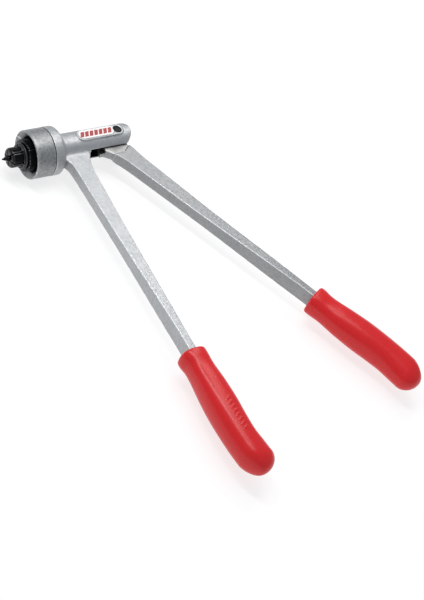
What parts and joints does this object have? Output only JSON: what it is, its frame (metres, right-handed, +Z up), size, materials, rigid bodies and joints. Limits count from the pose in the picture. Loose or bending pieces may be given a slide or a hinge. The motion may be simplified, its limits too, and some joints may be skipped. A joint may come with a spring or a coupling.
{
  "type": "tube expander",
  "caption": "Two-handled lever tool that flares and swages soft copper tube: squeezing the long handles drives a cone into a ring of segmented jaws.",
  "frame": {"origin": "middle of the tool's footprint, on the surface it lies on", "axes": "+Y from the grips towards the barrel, -X out through the jaws along the barrel, +Z up along the pivot pin, nameplate side up"},
  "size_m": [0.3008, 0.4293, 0.0506],
  "materials": {
    "cast_aluminium": "sand cast, rough satin",
    "satin_aluminium": "bead blasted satin",
    "steel": "ground",
    "spring_steel": "oiled",
    "black_oxide_steel": "black oxide, lightly oiled",
    "black_rubber": "matt",
    "red_vinyl": "soft gloss",
    "white_enamel": "baked enamel"
  },
  "bodies": {
    "body": {"body_casting": "cast_aluminium", "head_cap": "satin_aluminium", "guide_bush": "steel", "jaw_thrust_washer": "steel", "jaw_retaining_ring": "black_rubber", "return_spring": "spring_steel", "pivot_pin": "black_oxide_steel", "pin_retaining_ring": "spring_steel", "lever_washer_upper": "steel", "lever_washer_lower": "steel", "nameplate": "white_enamel", "fixed_grip": "red_vinyl"},
    "lever": {"lever": "cast_aluminium", "lever_grip": "red_vinyl"},
    "mandrel": {"mandrel": "black_oxide_steel", "roller_pin": "steel"},
    "roller": {"cam_roller": "steel"},
    "jaw_1": {"jaw_1": "black_oxide_steel"},
    "jaw_2": {"jaw_2": "black_oxide_steel"},
    "jaw_3": {"jaw_3": "black_oxide_steel"},
    "jaw_4": {"jaw_4": "black_oxide_steel"},
    "jaw_5": {"jaw_5": "black_oxide_steel"},
    "jaw_6": {"jaw_6": "black_oxide_steel"}
  },
  "joints": [
    {"name": "lever_pivot", "type": "hinge", "parent": "body", "child": "lever", "pos_m": [-0.0209, 0.1893, 0.0253], "axis": [0, 0, -1], "range_deg": [0, 25]},
    {"name": "mandrel_slide", "type": "slide", "parent": "body", "child": "mandrel", "axis": [-1, 0, 0], "range_m": [0, 0.0088], "stiffness_N_per_m": 1500, "springref_m": -0.004, "deforming": ["return_spring"]},
    {"name": "roller_spin", "type": "hinge", "parent": "mandrel", "child": "roller", "pos_m": [-0.0452, 0.1893, 0.0253], "axis": [0, 0, 1], "continuous": true},
    {"name": "jaw_1_slide", "type": "slide", "parent": "body", "child": "jaw_1", "axis": [0, 0.9397, 0.342], "range_m": [0, 0.0016], "deforming": ["jaw_retaining_ring"]},
    {"name": "jaw_2_slide", "type": "slide", "parent": "body", "child": "jaw_2", "axis": [0, 0.1736, 0.9848], "range_m": [0, 0.0016]},
    {"name": "jaw_3_slide", "type": "slide", "parent": "body", "child": "jaw_3", "axis": [0, -0.766, 0.6428], "range_m": [0, 0.0016]},
    {"name": "jaw_4_slide", "type": "slide", "parent": "body", "child": "jaw_4", "axis": [0, -0.9397, -0.342], "range_m": [0, 0.0016]},
    {"name": "jaw_5_slide", "type": "slide", "parent": "body", "child": "jaw_5", "axis": [0, -0.1736, -0.9848], "range_m": [0, 0.0016]},
    {"name": "jaw_6_slide", "type": "slide", "parent": "body", "child": "jaw_6", "axis": [0, 0.766, -0.6428], "range_m": [0, 0.0016]}
  ],
  "couplings": [
    {"joint": "mandrel_slide", "follows": "lever_pivot", "m_per_rad": 0.02},
    {"joint": "jaw_1_slide", "follows": "lever_pivot", "m_per_rad": 0.0035265},
    {"joint": "jaw_2_slide", "follows": "lever_pivot", "m_per_rad": 0.0035265},
    {"joint": "jaw_3_slide", "follows": "lever_pivot", "m_per_rad": 0.0035265},
    {"joint": "jaw_4_slide", "follows": "lever_pivot", "m_per_rad": 0.0035265},
    {"joint": "jaw_5_slide", "follows": "lever_pivot", "m_per_rad": 0.0035265},
    {"joint": "jaw_6_slide", "follows": "lever_pivot", "m_per_rad": 0.0035265}
  ]
}
